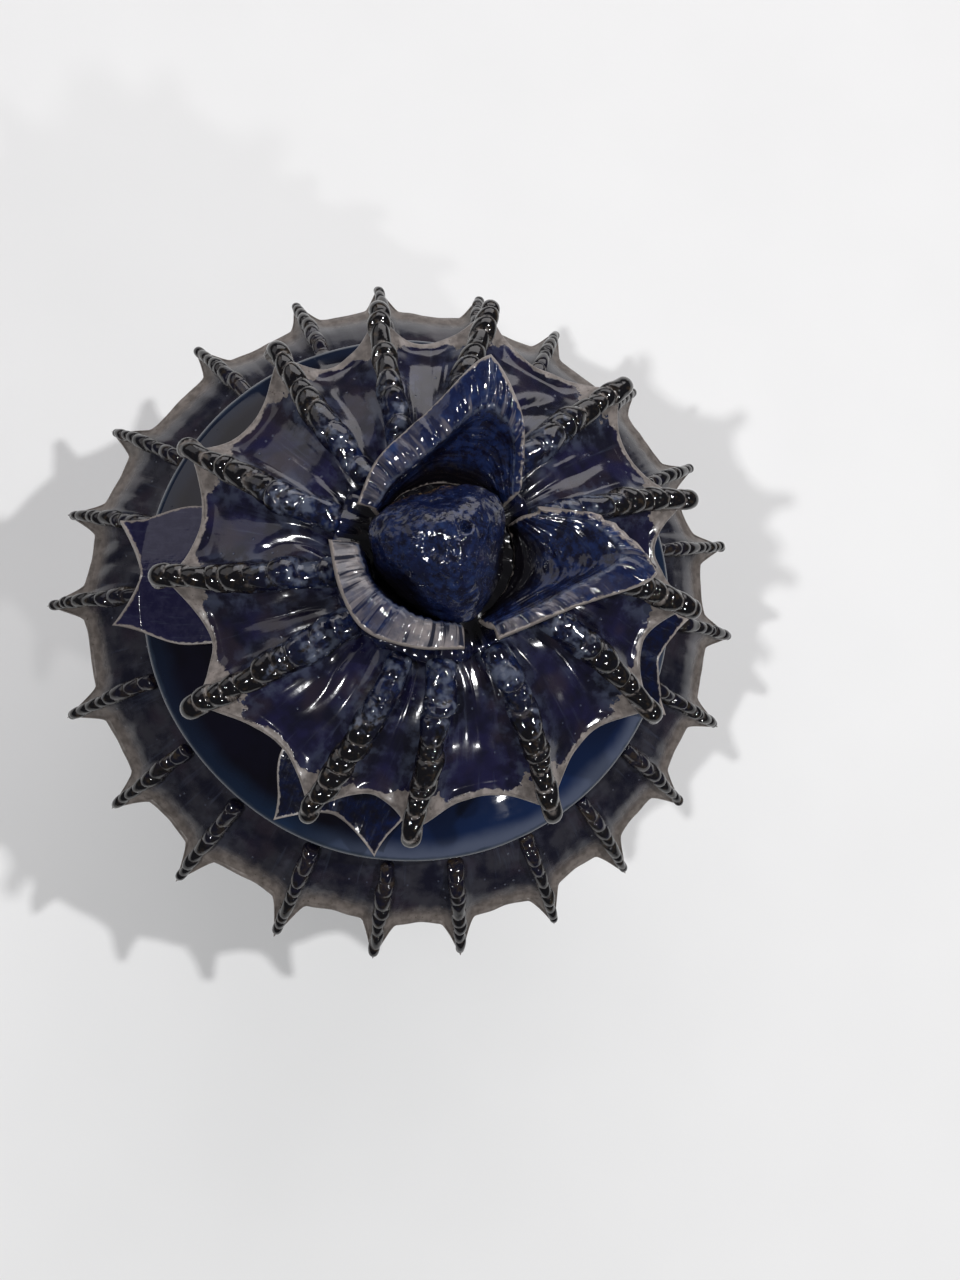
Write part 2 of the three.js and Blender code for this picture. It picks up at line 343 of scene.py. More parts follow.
ONE_SIDE_BLUE = (0.0045, 0.0140, 0.0520)
# DARK_EDGE_BLUE and the colour after it are the dim and bright ends of the painted reflection along the lid's
# roll.
DARK_EDGE_BLUE = (0.008, 0.020, 0.050)
REFLECTED_GREY_BLUE = (0.066, 0.080, 0.125)
RIM_BLUE = (0.020, 0.030, 0.050)
TOASTED_CLAY = (0.27, 0.18, 0.12)
IRON_SPECK = (0.06, 0.04, 0.03)
FLOOR_GREY = (0.80, 0.80, 0.80)
FLOOR_PALE = (0.84, 0.84, 0.84)
BUFF_CLAY = (0.42, 0.32, 0.23)
BROWN_BREAK = (0.035, 0.024, 0.014)
TAN_FLECK = (0.45, 0.27, 0.08)


def frill_glaze(name, bare_width, fade, deep, bright, combed, gloss, halo_share, slip_tone):
    """Runny glaze on a web: dark pools, faint combing, a soft stop before the bare edge.

    bare_width is how far in from the edge the bare clay shows, in millimetres, and fade half the width
    over which the glaze thins out; on the flanks of a rib the bare part widens towards the tip and its
    boundary breaks into tongues. combed is the depth of the combing, and gloss the glaze's roughness.
    halo_share is how much grey-blue glaze gathers beside each rib. slip_tone darkens the bare clay.
    """
    g = Glaze(name, 0.2)
    flat = g.flat_map()
    comb = g.speckle(1.0, 3, g.stretched(flat, (0.6, 0.06, 1)))
    pool = g.speckle(8, 3)
    fine = g.speckle(0.7, 4)
    colour = g.blend(g.step(pool, 0.36, 0.66), deep, bright)
    colour = g.blend(g.step(comb, 0.55, 0.8, 0, 0.35), colour, GREY_BLUE)
    colour = g.blend(g.step(g.speckle(13, 2), 0.50, 0.66, 0, 0.7), colour, UMBER_GLAZE)
    beside_rib = g.step(g.marked("rib_mm"), 3, 10, halo_share, 0)
    halo = g.times(beside_rib, g.step(g.speckle(4, 3), 0.42, 0.66))
    colour = g.blend(halo, colour, GREY_BLUE)
    pits = g.step(g.cells(3.4), 0.05, 0.11, 0.6, 0)
    colour = g.blend(pits, colour, GREY_BLUE)
    edge = g.marked("edge_mm")
    near_tip = g.step(g.marked("along"), 0.62, 0.9)
    on_flank = g.times(g.step(g.marked("rib_mm"), 2.5, 8.0, 1, 0), near_tip)
    widen = g.times(on_flank, 4.6)
    tongues = g.sum(g.speckle(3.0, 3, roughness=0.6), 0.5, "SUBTRACT")
    ragged = g.times(tongues, g.sum(g.times(on_flank, 9.0), 2.4))
    reach = g.sum(g.sum(edge, widen, "SUBTRACT"), ragged, "ADD")
    bare = g.step(reach, bare_width - fade, bare_width + fade, 1, 0)
    slip = g.blend(g.step(g.speckle(2.2, 4), 0.35, 0.65), SHADED_SLIP, BARE_SLIP)
    slip = g.blend(g.step(fine, 0.62, 0.72), slip, BROWN_BREAK)
    slip = g.blend(slip_tone, slip, BROWN_BREAK)
    colour = g.blend(bare, colour, slip)
    normal = g.relief(comb, combed)
    normal = g.relief(g.speckle(3.2, 2), 0.06, normal)
    normal = g.relief(g.step(g.cells(3.4), 0.04, 0.12), 0.05, normal)
    normal = g.relief(g.times(fine, bare), 0.06, normal)
    normal = g.relief(bare, -0.12, normal)
    return g.surface(colour, g.sum(gloss, g.times(bare, 0.26)), normal)


def rope_glaze(name, root_tint, pooled, break_share):
    """Wet black-brown glaze on clay scales, pale where it breaks over each front edge.

    Near the root it pools thick in the colours root_tint and pooled; break_share is how bare the
    front edges are. Low on its sides, towards the tip, shaded slip shows.
    """
    g = Glaze(name, 0.25)
    along = g.marked("along")
    mottle = g.speckle(2.2, 4)
    blue = g.blend(g.step(mottle, 0.4, 0.7), INK_GLAZE, root_tint)
    blue = g.blend(g.step(g.speckle(3.2, 2), 0.44, 0.66, 0, 0.85), blue, pooled)
    black = g.blend(g.step(g.speckle(1.6, 3), 0.5, 0.8), BLACK_GLAZE_AND_SHADE, BROWN_BREAK)
    where = g.sum(along, g.times(g.sum(mottle, 0.5, "SUBTRACT"), 1.1))
    colour = g.blend(g.step(where, 0.25, 0.5), blue, black)
    lip = g.times(g.marked("lip"), g.step(g.speckle(1.4, 4), 0.40, 0.58))
    lip = g.times(lip, g.step(along, 0.25, 0.8, 0.1, break_share))
    colour = g.blend(lip, colour, BARE_SLIP)
    flank = g.times(g.marked("flank"), g.step(g.speckle(2.0, 4), 0.40, 0.56))
    colour = g.blend(flank, colour, SHADED_SLIP)
    normal = g.relief(g.speckle(1.3, 3), 0.08)
    return g.surface(colour, g.sum(0.06, g.times(lip, 0.25)), normal)


def petal_glaze(name, deep, bright, ribbing):
    """Mottled cobalt over combed clay: black painted shade down in the throat, ribbed lips, bare along the
    very edge.

    Where the attribute pale is 1 the glaze on a lip is thin and milky, and along fold it breaks pale.
    ribbing is how much of the pale ribs shows on an ordinary lip.
    """
    g = Glaze(name)
    flat = g.flat_map()
    mottle = g.speckle(2.4, 5, roughness=0.65)
    comb = g.speckle(0.8, 3, g.stretched(flat, (0.10, 0.9, 1)))
    ribs = g.speckle(1.3, 2, g.stretched(flat, (0.8, 0.06, 1)))
    lip = g.marked("lip")
    pale = g.marked("pale")
    colour = g.blend(g.step(mottle, 0.38, 0.66), deep, bright)
    colour = g.blend(g.step(comb, 0.55, 0.75, 0, 0.25), colour, GREY_BLUE)
    # Painted shade: black where root is low, deep in the throat by the bud and in the cup's middle.
    colour = g.blend(g.step(g.marked("root"), 0.0, 1.0, 1, 0), colour, BLACK_GLAZE_AND_SHADE)
    blotch = g.blend(g.step(mottle, 0.42, 0.70), NAVY_GLAZE, COBALT_GLAZE)
    blotch = g.blend(g.step(g.speckle(4, 3), 0.52, 0.72, 0, 0.8), blotch, BRIGHT_COBALT)
    milky = g.blend(g.step(g.speckle(3.5, 3), 0.35, 0.65), DULL_MILK, WARM_MILK)
    milky = g.blend(g.step(ribs, 0.42, 0.50, 0.95, 0), milky, RIB_SHADOW)
    lifted = g.blend(g.times(g.step(ribs, 0.56, 0.64), ribbing), blotch, PALE_RIB)
    lifted = g.blend(pale, lifted, milky)
    colour = g.blend(lip, colour, lifted)
    fold = g.times(g.marked("fold"), g.step(g.speckle(1.5, 4), 0.36, 0.60, 0, 0.8))
    colour = g.blend(fold, colour, PALE_BLUE)
    ragged = g.times(g.sum(g.speckle(1.2, 4), 0.5, "SUBTRACT"), 1.4)
    bare = g.step(g.sum(g.marked("edge_mm"), ragged), 0.4, 0.8, 1, 0)
    colour = g.blend(bare, colour, BARE_SLIP)
    normal = g.relief(comb, 0.06)
    normal = g.relief(g.speckle(1.8, 2), 0.07, normal)
    return g.surface(colour, g.sum(0.09, g.times(bare, 0.3)), normal)


def bud_glaze(name):
    """Thick mottled cobalt with dark pits, black painted shade at the root, with tan flecks low on one side.
    """
    g = Glaze(name)
    mottle = g.speckle(1.7, 6, roughness=0.7)
    colour = g.blend(g.step(mottle, 0.38, 0.66), INK_GLAZE, COBALT_GLAZE)
    colour = g.blend(g.step(g.speckle(6, 2), 0.48, 0.62, 0, 0.7), colour, NAVY_GLAZE)
    colour = g.blend(g.step(g.speckle(3.5, 5), 0.52, 0.80, 0, 0.7), colour, BRIGHT_COBALT)
    colour = g.blend(g.step(g.speckle(0.6, 3), 0.60, 0.72, 0, 0.4), colour, GREY_BLUE)
    # Painted shade: black where root is low, at the foot of the bud.
    colour = g.blend(g.marked("root"), BLACK_GLAZE_AND_SHADE, colour)
    fleck = g.times(g.marked("fleck"), g.step(g.speckle(0.8, 3), 0.5, 0.56))
    colour = g.blend(fleck, colour, TAN_FLECK)
    normal = g.relief(g.speckle(2.2, 3), 0.22)
    normal = g.relief(g.step(g.cells(1.8), 0.08, 0.22), 0.12, normal)
    return g.surface(colour, g.step(mottle, 0.3, 0.7, 0.07, 0.15), normal)


def lid_glaze(name, edge_radius):
    """A mirror of near-black violet, bluer towards the edge on one side; along its roll a painted reflection,
    grey-blue and strongest on that same side, and a blue line round the very edge.
    """
    g = Glaze(name)
    split = g.node("ShaderNodeSeparateXYZ")
    g.put(split.inputs[0], g.place)
    x, y = split.outputs[0], split.outputs[1]
    square = g.sum(g.sum(x, 2, "POWER"), g.sum(y, 2, "POWER"))
    radius = g.times(g.sum(square, 0.5, "POWER"), 1 / MM)
    drift = g.times(g.sum(g.speckle(16, 3), 0.5, "SUBTRACT"), 5)
    colour = g.blend(g.step(g.speckle(12, 2), 0.35, 0.65), VIOLET_BLACK, VIOLET_SHEEN)
    across = g.sum(g.times(x, 0.5 / MM), g.times(y, -0.85 / MM))
    # Bluer towards the edge on the side across points to.
    run = g.step(g.sum(across, g.times(drift, 2)), 40, 66)
    colour = g.blend(run, colour, ONE_SIDE_BLUE)
    # Painted reflection along the roll, 2 to 7 mm in from the edge: grey-blue at full strength on the side
    # across points to, dim dark blue at 0.35 strength elsewhere.
    reflection_band = g.step(g.sum(radius, drift), edge_radius - 7, edge_radius - 2)
    thin = g.blend(g.step(across, 35, 60), DARK_EDGE_BLUE, REFLECTED_GREY_BLUE)
    colour = g.blend(g.times(reflection_band, g.step(across, -20, 60, 0.35, 1)), colour, thin)
    rim = g.step(g.sum(radius, g.times(g.speckle(4, 3), 1.2)), edge_radius - 1.0, edge_radius)
    colour = g.blend(rim, colour, RIM_BLUE)
    normal = g.relief(g.speckle(30, 1), 0.5)
    normal = g.relief(g.step(g.cells(5), 0.03, 0.07), 0.05, normal)
    return g.surface(colour, g.step(g.speckle(3, 3), 0.3, 0.8, 0.03, 0.07), normal)


def pot_glaze(name):
    """Cobalt that runs down the pot and stops in a wavy, thick line above a bare buff foot."""
    g = Glaze(name)
    runs = g.speckle(6, 4, g.stretched(g.place, (1, 1, 0.18)))
    pool = g.speckle(14, 3)
    colour = g.blend(g.step(runs, 0.35, 0.65), NAVY_GLAZE, COBALT_GLAZE)
    colour = g.blend(g.step(pool, 0.5, 0.75, 0, 0.7), colour, BRIGHT_COBALT)
    colour = g.blend(g.step(g.speckle(0.8, 3), 0.62, 0.72, 0, 0.5), colour, GREY_BLUE)
    worn = g.times(g.marked("worn"), g.step(g.speckle(2, 4), 0.35, 0.6))
    colour = g.blend(worn, colour, BROWN_BREAK)
    bare = g.step(g.marked("bare"), 0.4, 0.6)
    grit = g.speckle(0.5, 3)
    clay = g.blend(g.step(grit, 0.35, 0.7), BUFF_CLAY, TOASTED_CLAY)
    clay = g.blend(g.step(g.cells(3.0), 0.08, 0.14, 0.8, 0), clay, IRON_SPECK)
    colour = g.blend(bare, colour, clay)
    normal = g.relief(runs, 0.15)
    normal = g.relief(grit, 0.06, normal)
    rough = g.sum(g.step(pool, 0.3, 0.7, 0.09, 0.16), g.times(bare, 0.62))
    return g.surface(colour, rough, normal)


def floor_paint():
    """A matt pale grey with faint, wide clouds."""
    g = Glaze("pale_floor")
    g.shader.inputs["IOR"].default_value = 1.3
    tone = g.blend(g.speckle(60, 2), FLOOR_GREY, FLOOR_PALE)
    return g.surface(tone, g.step(g.speckle(40, 2), 0, 1, 0.6, 0.7), g.relief(g.speckle(2, 2), 0.02))


# ---------------------------------------------------------------- ribs read from the frame


def farthest(node):
    """How far from the axis a frame node reaches, and in which direction in degrees."""
    co = vertices(node)
    r = np.hypot(co[:, 0], co[:, 1])
    tip = co[r > r.max() - 2].mean(0)
    return r.max(), math.degrees(math.atan2(tip[1], tip[0])) % 360


class Frill:
    """The shape of one spiked frill, worked out from its frame node and its ropes."""

    def __init__(self, node, rope_prefix, count, **shape):
        self.node = node
        self.ropes = [f"{rope_prefix}_{k + 1:02d}" for k in range(count)]
        self.low_z = corners(node)[0][2]
        self.__dict__.update(shape)
        reach, self.tip_deg = np.array([farthest(name) for name in self.ropes]).T
        self.tip_r = reach.mean() - self.tuck
        self.tip_more = reach - reach.mean()
        rng = np.random.default_rng(self.seed)
        self.web_more = rng.uniform(-1.0, 1.0, count)
        self.sag_more = rng.uniform(0.7, 1.3, count)

    def radius(self, along):
        return self.root_r + (self.tip_r - self.root_r) * along

    def swirl(self, along):
        return np.radians(self.swirl_deg) * (1 - along)

    def rib_height(self, along):
        """Height of the top face on a rib: a low dome that bends down, with a hook at the tip."""
        dome = self.crest * np.sin(np.pi * np.minimum(1, along * 1.25))
        fall = (self.root_z - self.tip_z) * np.maximum(along, 0) ** self.bend
        return self.root_z + dome - fall - self.hook * smooth(along, 0.82, 1.12)

    def rib(self, k, along):
        """Points on rib k."""
        more = self.tip_more[k] * along
        angle = np.radians(self.tip_deg[k]) + self.swirl(along)
        return polar(self.radius(along) + more, angle, self.rib_height(along))


ROUND_ROWS = 9  # rows round a frill's outer edge, with the first and last left out
UNDER_ROWS = 14


def frill_piece(frill, name, columns_per_web, rows, material, body, slot):
    """A frill as a ring of webs hung between ribs.

    s is the share of a web's width between a point and its nearer rib, and d that distance in
    millimetres. The edge reaches out past the web's share of the radius by (1 - 2s)^point; on a
    frill with spikes, spike is how much of that is a cone instead, (1 - d / cone)^1.35. The face sags
    below its ribs by sag times 1 - exp(-(d / ridge)²). Pleats are |sin| folds near the root. The
    section runs out along the top, round the edge and back along the underside.
    """
    count = len(frill.ropes)
    order = np.argsort(frill.tip_deg)
    start = frill.tip_deg[order]
    stop = np.append(start[1:], start[0] + 360)
    share = np.arange(columns_per_web) / columns_per_web
    side = np.minimum(share, 1 - share)
    eased = 0.5 * (2 * side) ** 1.35
    place = np.where(share < 0.5, eased, 1 - eased)
    angle = np.radians(start[:, None] + (stop - start)[:, None] * place).ravel()
    near = np.where(place < 0.5, 0, 1)
    rib = (order[(np.arange(count)[:, None] + near) % count]).ravel()
    before, after = frill.tip_more[order], frill.tip_more[np.roll(order, -1)]
    tip_more = (before[:, None] * (1 - place) + after[:, None] * place).ravel()
    web = np.repeat(order, columns_per_web)
    pull = np.maximum(0, 1 - 2 * np.tile(eased, count))
    web_share = frill.web_share + frill.web_more[web] / (frill.tip_r - frill.root_r)
    to_rib = 0.5 * (1 - pull) * np.radians(np.repeat(stop - start, columns_per_web)) * frill.tip_r
    cone = 1 - to_rib / frill.cone
    reach = web_share + (1 - web_share) * (
        (1 - frill.spike) * pull ** frill.point + frill.spike * np.maximum(cone, 0) ** 1.35
    )

    t = 1 - (1 - np.linspace(0, 1, rows)) ** 1.5
    around = np.linspace(90, -90, ROUND_ROWS)[1:-1]
    under = np.linspace(1, 0, UNDER_ROWS)
    run = np.concatenate([t, np.ones(len(around)), under])[:, None]
    turn = np.concatenate([np.full(rows, 90), around, np.full(len(under), -90)])[:, None]
    along = run * reach
    more = tip_more * along
    centre = np.radians(frill.tip_deg[rib])
    gap = wrapped(angle - centre)
    radius = frill.radius(along) + more
    rib_mm = np.abs(gap) * radius
    on_rib = bell(rib_mm, frill.ridge * (0.75 + 0.5 * along))
    sag = frill.sag * frill.sag_more[web] * along ** 1.3 * (1 - on_rib)
    seen = polar(radius, angle + frill.swirl(along), 0 * along)
    ripple = noise(seen * [1, 1, 0] + [0, 0, 7], 9, frill.seed) * frill.ripple
    folds = wrapped(angle) * frill.folds + 2.5 * noise(seen, 16, frill.seed + 1)
    crease = np.sqrt(np.sin(folds) ** 2 + 0.03)
    strength = 0.35 + 0.65 * np.abs(noise(seen, 20, frill.seed + 6)) * 2
    pleat = frill.pleat * strength * (crease - 0.6) * (1 - smooth(along, 0.35, 0.95)) * (1 - 0.6 * on_rib)
    edge_line = seen[rows - 1]
    edge_mm = np.full(along.shape, 99.0)
    for shift in range(-columns_per_web // 2, columns_per_web // 2 + 1):
        apart = np.linalg.norm(seen[..., :2] - np.roll(edge_line, shift, 0)[..., :2], axis=-1)
        edge_mm = np.minimum(edge_mm, apart)
    lip = 0.7 * bell(edge_mm, 1.6) * (1 - on_rib)
    middle = frill.rib_height(along) - sag + ripple * smooth(along, 0.1, 0.6) + pleat + lip
    middle = middle - 0.5 * frill.thick
    half = 0.5 * frill.thick * (0.55 + 0.45 * np.maximum(smooth(edge_mm, 0, 7), on_rib * frill.spike))
    half = half * (1 + 0.10 * noise(seen, 4, frill.seed + 2))
    ragged = 0.30 * noise(seen, 5, frill.seed + 3) * smooth(along, 0.5, 0.7)
    out = radius + (half * np.cos(np.radians(turn)) + ragged) * (run > 0.999)
    comb = frill.comb * noise(polar(60 * np.ones_like(angle), angle, 0 * angle), 1.1, frill.seed + 4)
    comb = comb * noise(seen, 8, frill.seed + 5) * (turn > 80) * (1 - 0.7 * on_rib)
    height = middle + half * np.sin(np.radians(turn)) + comb * smooth(edge_mm, 0.4, 1.5)
    height = np.maximum(height, frill.low_z - 2)
    grid = polar(out, angle + frill.swirl(along), height)
    flat = np.stack([np.broadcast_to(angle * frill.tip_r * 0.8, along.shape), radius], -1)
    marks = {"edge_mm": edge_mm, "rib_mm": rib_mm, "along": along}
    return shell_piece(
        name, grid, True, flat, marks, material=material, body=body, slot=slot, nodes=[frill.node]
    )


ROWS_PER_SCALE = 15
ROPE_SIDES = 26
SCALE_SIZES = 64  # how many random sizes and sideways shifts the scales of a rope draw on


def rope_piece(frill, k, name, start, thick_root, thick_tip, pitch_root, pitch_tip, material, body, slot):
    """A rope of overlapping scales pressed on rib k, hooked over its tip.

    The count of scales grows with length as the pitch shrinks towards the tip. Within a scale the
    radius follows an ellipse that is cut short at the front, so each front edge stands over the next
    scale. The front edges bow towards the tip because the count is advanced at the sides.
    """
    rng = np.random.default_rng(frill.seed * 100 + k)
    run = frill.rib(k, np.linspace(start, 1.0, 60))
    towards = math.radians(frill.tip_deg[k])
    outward = np.array([math.cos(towards), math.sin(towards), 0])
    slope = run[-1] - run[-2]
    fall = math.atan2(-slope[2], slope @ outward)
    bend = np.linspace(0, max(0.2, math.radians(frill.hook_deg) - fall), 14)[1:, None]
    turn_r = frill.hook_r
    aim = fall + bend
    hook = run[-1] + turn_r * (np.sin(aim) - math.sin(fall)) * outward
    hook[:, 2] -= turn_r * (math.cos(fall) - np.cos(aim[:, 0]))
    path = np.concatenate([run, hook])
    length = np.append(0, np.cumsum(np.linalg.norm(np.diff(path, axis=0), axis=1)))
    scales = int(round(length[-1] / (0.5 * (pitch_root + pitch_tip))))
    rows = scales * ROWS_PER_SCALE
    s = np.linspace(0, length[-1], rows)
    path = np.stack([np.interp(s, length, path[:, axis]) for axis in range(3)], -1)
    share = (s / length[-1])[:, None]
    tangent = np.gradient(path, axis=0)
    tangent /= np.linalg.norm(tangent, axis=1, keepdims=True)
    sideways = np.cross([0, 0, 1.0], outward)
    up = np.cross(tangent, sideways)
    up /= np.linalg.norm(up, axis=1, keepdims=True)

    around = np.linspace(0, 2 * np.pi, ROPE_SIDES, endpoint=False)[None, :]
    from_top = np.abs(wrapped(around))
    lean = rng.uniform(-0.12, 0.12)
    count = scales * (share * (1 + 0.5 * (1 - pitch_tip / pitch_root) * (share - 1)))
    uneven = 0.45 * noise(np.stack([s, 0 * s, 0 * s + 9 * k], -1), 5, 700 + k)[:, None]
    bow = 0.42 * (from_top / 1.5) ** 2
    number = count + uneven + bow + lean * np.sin(around) + rng.uniform(0, 1)
    scale = np.floor(number).astype(int)
    t = number - scale
    size = rng.uniform(0.84, 1.12, SCALE_SIZES)[scale % SCALE_SIZES]
    shift = rng.uniform(-0.16, 0.16, SCALE_SIZES)[scale % SCALE_SIZES]
    crisp = smooth(share, 0.05, 0.35)
    widest, half_length = 0.56, 0.57
    swell = np.sqrt(np.clip(1 - ((t - widest) / half_length) ** 2, 0, 1))
    neck, crisp_swell, smeared_swell = 0.76, 0.27, 0.12
    profile = neck + (crisp_swell * crisp + smeared_swell * (1 - crisp)) * swell
    radius = thick_root + (thick_tip - thick_root) * share
    ends = round_end(share / 0.05) * round_end((1 - share) / 0.07)
    radius = radius * profile * size * ends
    centre = path[:, None] + up[:, None] * (0.45 * radius[..., None])
    spread = radius * (np.sin(around) * 1.05 + shift)
    lift = radius * np.cos(around) * 0.9
    grid = centre + sideways * spread[..., None] + up[:, None] * lift[..., None]
    smear = noise(grid, 4.5, 900 + k) * (0.9 * (1 - smooth(share, 0.1, 0.6)) + 0.10)
    grid = grid + up[:, None] * (smear * ends)[..., None]
    lip = bell(t - 0.95, 0.055) + bell(t, 0.03)
    flank = smooth(from_top, 1.25, 1.9) * smooth(share, 0.45, 0.8)
    ones = np.ones_like(grid[..., 0])
    marks = {"along": share * ones, "lip": np.clip(lip * ones, 0, 1), "flank": flank * ones}
    flat = np.stack([around * ones * thick_tip, s[:, None] * ones], -1)
    return shell_piece(
        name, grid, False, flat, marks, material=material, body=body, slot=slot, nodes=[frill.ropes[k]]
    )


# ---------------------------------------------------------------- turned pieces


def rounded(profile, count):
    """Points evenly spread along a chain of [radius, height] corners, softened by averaging."""
    p = np.array(profile, float)
    length = np.append(0, np.cumsum(np.linalg.norm(np.diff(p, axis=0), axis=1)))
    s = np.linspace(0, length[-1], count)
    line = np.stack([np.interp(s, length, p[:, 0]), np.interp(s, length, p[:, 1])], -1)
    for _ in range(3):
        line[1:-1] = 0.25 * line[:-2] + 0.5 * line[1:-1] + 0.25 * line[2:]
    return line


def turned_piece(name, line, columns, wobble, marks_of, relief_of, **where):
    """A profile turned about the axis.

    wobble is how far, in millimetres, the wall wanders from round; relief_of gives how far each
    point is pushed out along the wall's normal.
    """
    angle = np.linspace(0, 2 * np.pi, columns, endpoint=False)[None, :]
    radius = np.broadcast_to(line[:, :1], (len(line), columns))
    height = np.broadcast_to(line[:, 1:], (len(line), columns))
    base = polar(radius, angle, height)
    seed = len(name)
    drift = wobble * noise(base, 45, seed) * smooth(radius, 0, 12)
    tangent = np.gradient(line, axis=0)
    tangent /= np.maximum(np.linalg.norm(tangent, axis=1, keepdims=True), 1e-9)
    push = relief_of(base, radius, height, angle) * smooth(radius, 0, 6)
    radius = radius + drift + push * tangent[:, 1:]
    height = height - push * tangent[:, :1]
    grid = polar(np.maximum(radius, 0), angle, height)
    flat = np.stack([angle * 60 + 0 * radius, height], -1)
    return shell_piece(name, grid, False, flat, marks_of(base, radius, height, angle), **where)


def no_marks(base, radius, height, angle):
    return {}


# ---------------------------------------------------------------- finishes

SHOULDER_GLAZE = frill_glaze("shoulder_frill_glaze", 2.8, 2.0, INK_GLAZE, SLATE_GLAZE, 0.14, 0.16, 0.12, 0.35)
CROWN_GLAZE = frill_glaze("crown_frill_glaze", 0.55, 0.2, INK_GLAZE, PLUM_GLAZE, 0.03, 0.13, 0.6, 0.0)
ROPE_GLAZE = rope_glaze("crown_rope_glaze", COBALT_GLAZE, PALE_BLUE, 0.85)
SHOULDER_ROPE_GLAZE = rope_glaze("shoulder_rope_glaze", BROWN_BREAK, INK_GLAZE, 0.25)
PETAL_GLAZE = petal_glaze("petal_glaze", INK_GLAZE, COBALT_GLAZE, 0.5)
LEAF_GLAZE = petal_glaze("leaf_glaze", PLUM_GLAZE, DUSKY_LEAF, 0.0)
BLUE_LEAF_GLAZE = petal_glaze("blue_leaf_glaze", INK_GLAZE, BLUE_LEAF, 0.0)
CUP_GLAZE = petal_glaze("cup_glaze", INK_GLAZE, NAVY_GLAZE, 0.0)
BUD_GLAZE = bud_glaze("bud_glaze")
POT_GLAZE = pot_glaze("pot_glaze")
FLOOR_PAINT = floor_paint()

# ---------------------------------------------------------------- pot


MOUTH_R = 58.5
NECK_R = 67.0


def foot_radius():
    """The pot's radius where it meets the table, from the frame node's lowest vertices."""
    co = vertices("jar_body")
    low = co[co[:, 2] < 0.1]
    return np.hypot(low[:, 0], low[:, 1]).max()


def build_pot():
    """Hollow thrown pot: turned foot, belly, short neck, glazed inside and out."""
    low, high = corners("jar_body")
    rim = high[2]
    belly = 0.5 * (high[0] - low[0])
    foot = foot_radius()
    wall = 5
    shape = [[foot + 1, 4], [foot + 8, 12], [belly - 7, 34], [belly, 60], [belly - 4, 84], [NECK_R, 104]]
    outside = through(shape, 60)
    inside = outside[6:][::-1] - [wall, 0]
    foot_ring = [[0, 3], [foot - 8, 3], [foot - 7, 0.4], [foot - 6.2, 0], [foot - 0.8, 0], [foot, 0.7]]
    lip_out = [[NECK_R, rim - 1.6], [NECK_R - 0.5, rim - 0.5], [NECK_R - 1.6, rim]]
    lip_in = [[MOUTH_R + 1, rim], [MOUTH_R, rim - 1], [MOUTH_R, 108]]
    bottom = [[foot - 8, 8.2], [0, 8]]
    line = rounded(foot_ring + outside.tolist() + lip_out + lip_in + inside.tolist() + bottom, 460)

    def stop_height(angle):
        """Where the glaze stops above the foot: slow swings with small runs on them."""
        place = polar(40 + 0 * angle, angle, 0 * angle)
        return 8.5 + 2.2 * noise(place, 17, 5) + 1.0 * noise(place, 6, 6)

    def side(base, radius):
        """1 on the outside of the pot, 0 inside."""
        index = np.arange(base.shape[0])[:, None] + 0 * radius
        return (index < np.argmax(line[:, 1])).astype(float)

    def relief(base, radius, height, angle):
        """Throwing rings, the glaze's own thickness with a roll along its lower edge, and grain."""
        rings = 0.22 * np.sin(height * 2 * np.pi / 7.5 + 1.5 * noise(base, 30, 7))
        glaze = 0.55 * smooth(height - stop_height(angle), -0.5, 0.7) * side(base, radius)
        roll = 0.35 * bell(height - stop_height(angle) - 1.2, 1.6) * side(base, radius)
        grain = 0.10 * noise(base, 5, 8)
        turned = grain - 0.5 * smooth(height, 0.5, 4)
        return rings * smooth(height, 5, 14) + (glaze + roll) * (height > 2) + turned

    def marks(base, radius, height, angle):
        bare = smooth(stop_height(angle) - height, -0.3, 0.5) * side(base, radius)
        worn = bell(height - (rim - 0.6), 1.3)
        return {"bare": bare, "worn": worn}

    return turned_piece(
        "thrown_pot", line, 220, 0.5, marks, relief,
        material=POT_GLAZE, body="jar", slot="cobalt_glaze", nodes=["jar_body"],
    )


build_pot()

# ---------------------------------------------------------------- frills and their ropes

SHOULDER = Frill(
    "shoulder_frill", "shoulder_rope", 22, seed=11, root_r=NECK_R - 0.5, root_z=113.0, tip_z=92.0,
    web_share=0.66, bend=1.5, crest=0.0, swirl_deg=0.0, hook=0.0, hook_deg=62, hook_r=1.2, tuck=2.0,
    point=1.5, spike=0.85, cone=5.4, ridge=3.4, sag=4.0, ripple=0.6, pleat=0.5, folds=44, thick=3.0,
    comb=0.3,
)
CROWN = Frill(
    "crown_frill", "crown_rope", 13, seed=23, root_r=14.0, root_z=168.5, tip_z=164.5,
    web_share=0.835, bend=2.2, crest=3.5, swirl_deg=8.0, hook=2.0, hook_deg=100, hook_r=3.0, tuck=3.3,
    point=1.9, spike=0.0, cone=4.2, ridge=4.0, sag=5.5, ripple=0.35, pleat=1.1, folds=19.5, thick=2.8,
    comb=0.10,
)
frill_piece(SHOULDER, "shoulder_web", 40, 46, SHOULDER_GLAZE, "jar", "frill_glaze")
frill_piece(CROWN, "crown_web", 64, 60, CROWN_GLAZE, "lid", "frill_glaze")
for k in range(len(SHOULDER.ropes)):
    rope_piece(
        SHOULDER, k, f"shoulder_scales_{k + 1:02d}", start=0.16, thick_root=2.5, thick_tip=1.25,
        pitch_root=4.4, pitch_tip=3.0, material=SHOULDER_ROPE_GLAZE, body="jar", slot="rope_glaze",
    )
for k in range(len(CROWN.ropes)):
    rope_piece(
        CROWN, k, f"crown_scales_{k + 1:02d}", start=0.2, thick_root=4.0, thick_tip=2.3,
        pitch_root=6.6, pitch_tip=3.0, material=ROPE_GLAZE, body="lid", slot="rope_glaze",
    )

